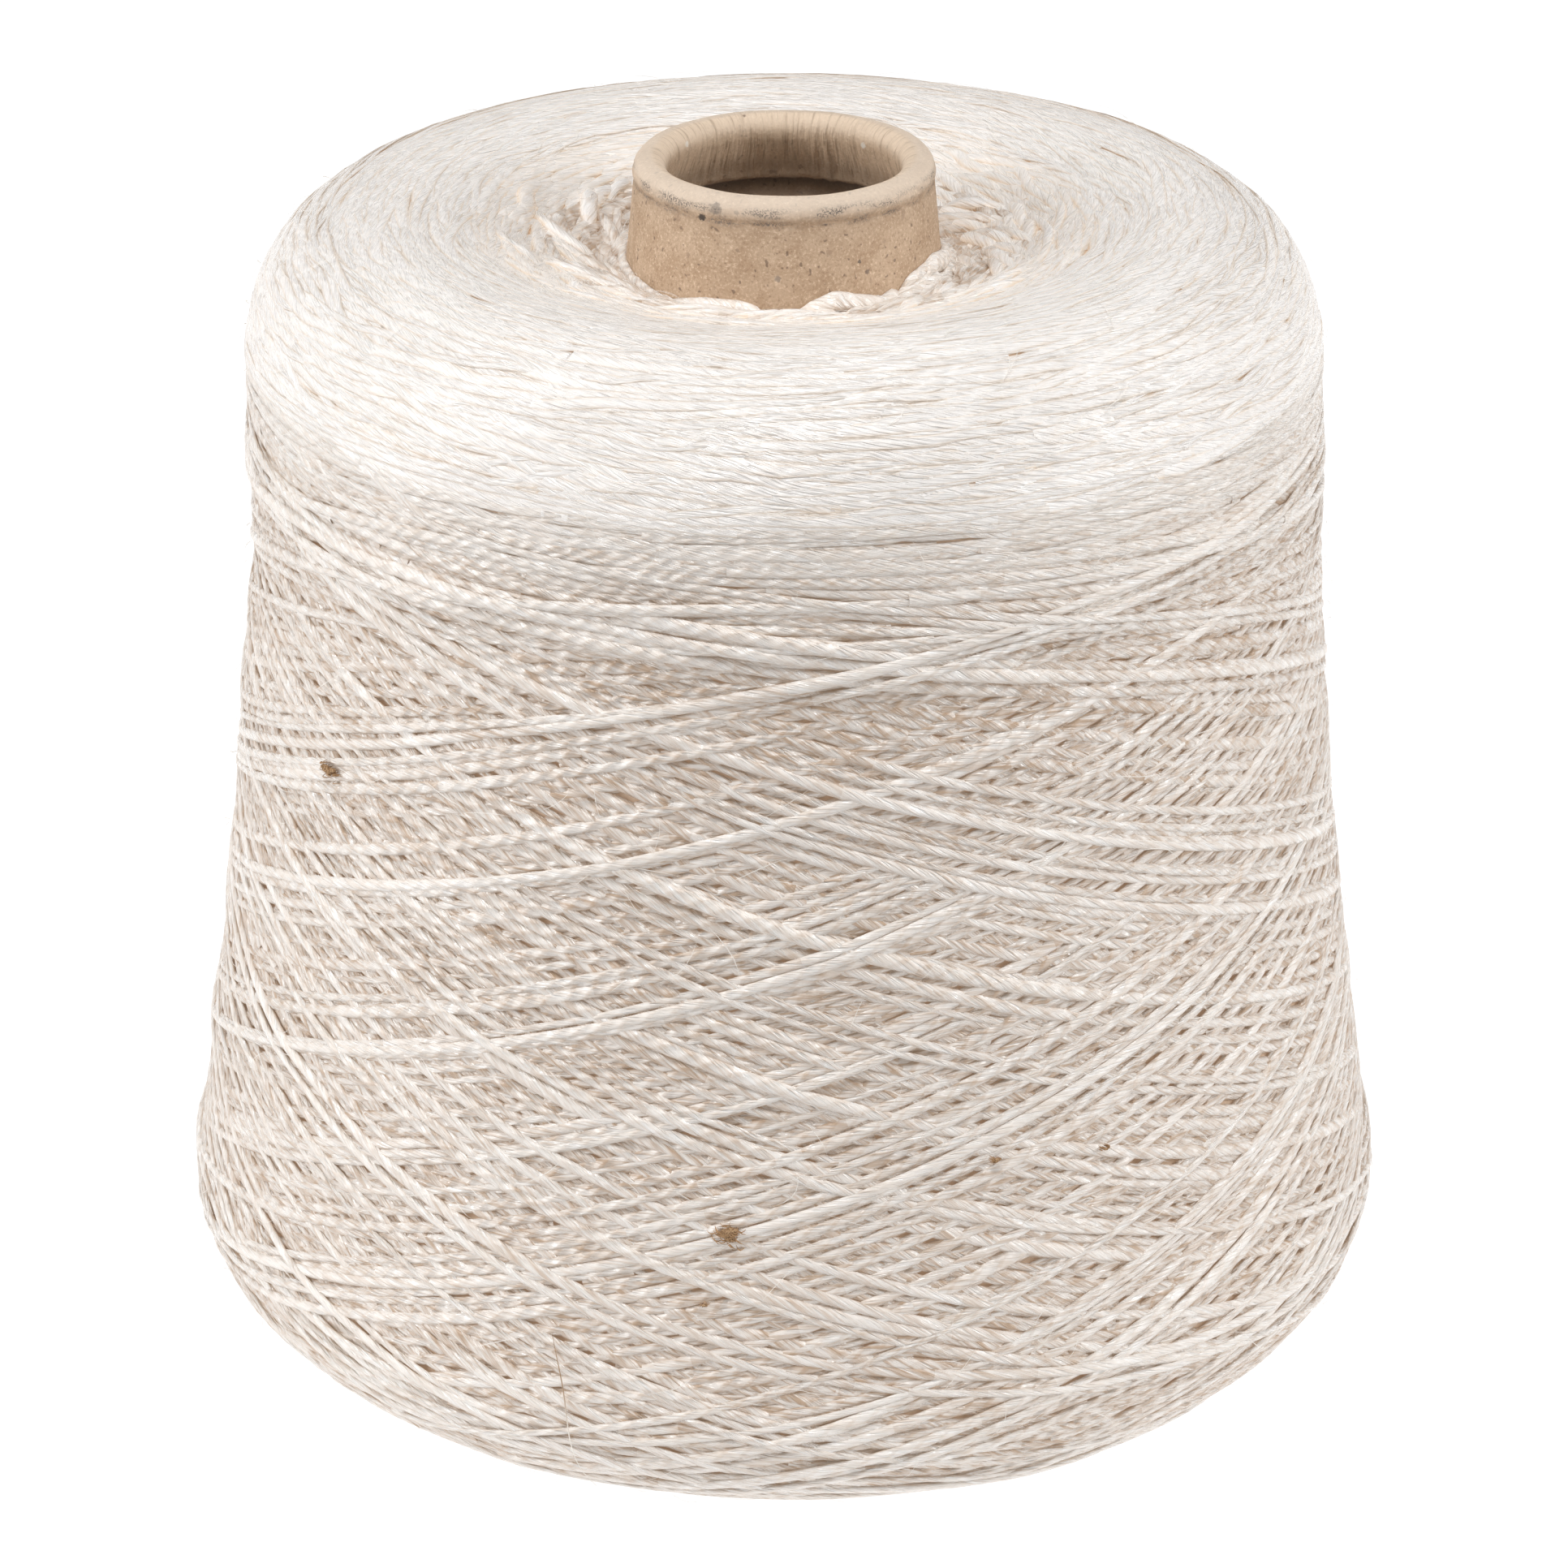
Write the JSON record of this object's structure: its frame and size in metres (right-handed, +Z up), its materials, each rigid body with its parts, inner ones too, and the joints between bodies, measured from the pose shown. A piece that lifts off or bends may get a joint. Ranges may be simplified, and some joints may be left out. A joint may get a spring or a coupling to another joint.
{
  "type": "cone of yarn",
  "caption": "Cone of thick natural yarn, wound criss-cross on a tapered paper cone whose rolled nose stands out of the dished top.",
  "frame": {"origin": "centre of the paper cone's base ring, on the surface that the cone stands on", "axes": "+Z up along the cone's axis towards its nose; -Y faces the camera of the picture"},
  "size_m": [0.1608, 0.1608, 0.17],
  "materials": {
    "kraft_paper": "matt kraft paper with fine dark flecks, scuffed at the nose",
    "natural_yarn": "soft, slightly silky, warm white plied yarn"
  },
  "bodies": {
    "root": {"paper_cone": "kraft_paper", "wound_yarn": "natural_yarn"}
  },
  "joints": []
}
